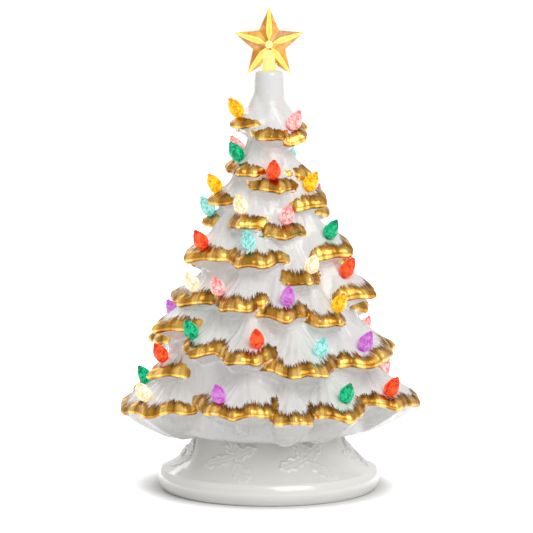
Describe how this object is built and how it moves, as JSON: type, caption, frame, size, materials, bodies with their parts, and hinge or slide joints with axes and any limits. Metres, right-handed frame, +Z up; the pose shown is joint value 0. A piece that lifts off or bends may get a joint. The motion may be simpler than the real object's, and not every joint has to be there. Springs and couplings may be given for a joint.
{
  "type": "lighted tree",
  "caption": "Glazed ceramic table-top tree with gilt bough tips, coloured light bulbs, an amber star and a turned ceramic foot that holds a battery light unit.",
  "frame": {"origin": "centre of the foot ring, on the surface that it stands on", "axes": "+Z up through the star, front of the tree towards -Y, right side +X"},
  "size_m": [0.2368, 0.2356, 0.38],
  "materials": {
    "white_glaze": "satin gloss white glaze with gilt tips on the boughs",
    "cream_glaze": "glossy cream white glaze",
    "amber_plastic": "translucent amber, polished",
    "black_plastic": "fine moulded texture",
    "white_plastic": "fine moulded texture",
    "cell_jacket": "plain printed jacket",
    "spring_steel": "nickel plated",
    "board_green": "solder mask",
    "lamp_clear": "clear warm white lamps",
    "lead_red": "insulation",
    "lead_black": "insulation",
    "bulb_yellow": "translucent, lit from inside",
    "bulb_red": "translucent, lit from inside",
    "bulb_green": "translucent, lit from inside",
    "bulb_aqua": "translucent, lit from inside",
    "bulb_pink": "translucent, lit from inside",
    "bulb_purple": "translucent, lit from inside",
    "bulb_clear": "translucent, lit from inside"
  },
  "bodies": {
    "foot": {"base_plate": "black_plastic", "battery_1": "cell_jacket", "battery_2": "cell_jacket", "battery_3": "cell_jacket", "battery_box": "black_plastic", "board_leads": "lead_black", "ceramic_foot": "cream_glaze", "contact_strip_front": "spring_steel", "contact_strip_rear": "spring_steel", "control_board": "board_green", "control_chip": "black_plastic", "hinge_pin": "spring_steel", "lamp_lead_black": "lead_black", "lamp_lead_red": "lead_red", "led_board": "board_green", "led_lamps": "lamp_clear", "led_post": "white_plastic", "switch_housing": "black_plastic", "switch_leads": "lead_red"},
    "tree": {"tree_shell": "white_glaze", "bulbs_lower_aqua": "bulb_aqua", "bulbs_lower_clear": "bulb_clear", "bulbs_lower_green": "bulb_green", "bulbs_lower_pink": "bulb_pink", "bulbs_lower_purple": "bulb_purple", "bulbs_lower_red": "bulb_red", "bulbs_lower_yellow": "bulb_yellow", "bulbs_middle_aqua": "bulb_aqua", "bulbs_middle_clear": "bulb_clear", "bulbs_middle_pink": "bulb_pink", "bulbs_middle_purple": "bulb_purple", "bulbs_middle_red": "bulb_red", "bulbs_middle_yellow": "bulb_yellow", "bulbs_upper_aqua": "bulb_aqua", "bulbs_upper_clear": "bulb_clear", "bulbs_upper_green": "bulb_green", "bulbs_upper_pink": "bulb_pink", "bulbs_upper_purple": "bulb_purple", "bulbs_upper_red": "bulb_red", "bulbs_upper_yellow": "bulb_yellow"},
    "star": {"star_topper": "amber_plastic"},
    "door": {"battery_door": "black_plastic"},
    "slider": {"switch_slider": "white_plastic"}
  },
  "joints": [
    {"name": "tree_lift", "type": "slide", "parent": "foot", "child": "tree", "axis": [0, 0, 1], "range_m": [0, 0.12]},
    {"name": "star_pull", "type": "slide", "parent": "tree", "child": "star", "axis": [0, 0, 1], "range_m": [0, 0.02]},
    {"name": "door_hinge", "type": "hinge", "parent": "foot", "child": "door", "pos_m": [0, 0.0248, 0.0065], "axis": [1, 0, 0], "range_deg": [0, 95]},
    {"name": "switch_slide", "type": "slide", "parent": "foot", "child": "slider", "axis": [1, 0, 0], "range_m": [-0.005, 0]}
  ]
}
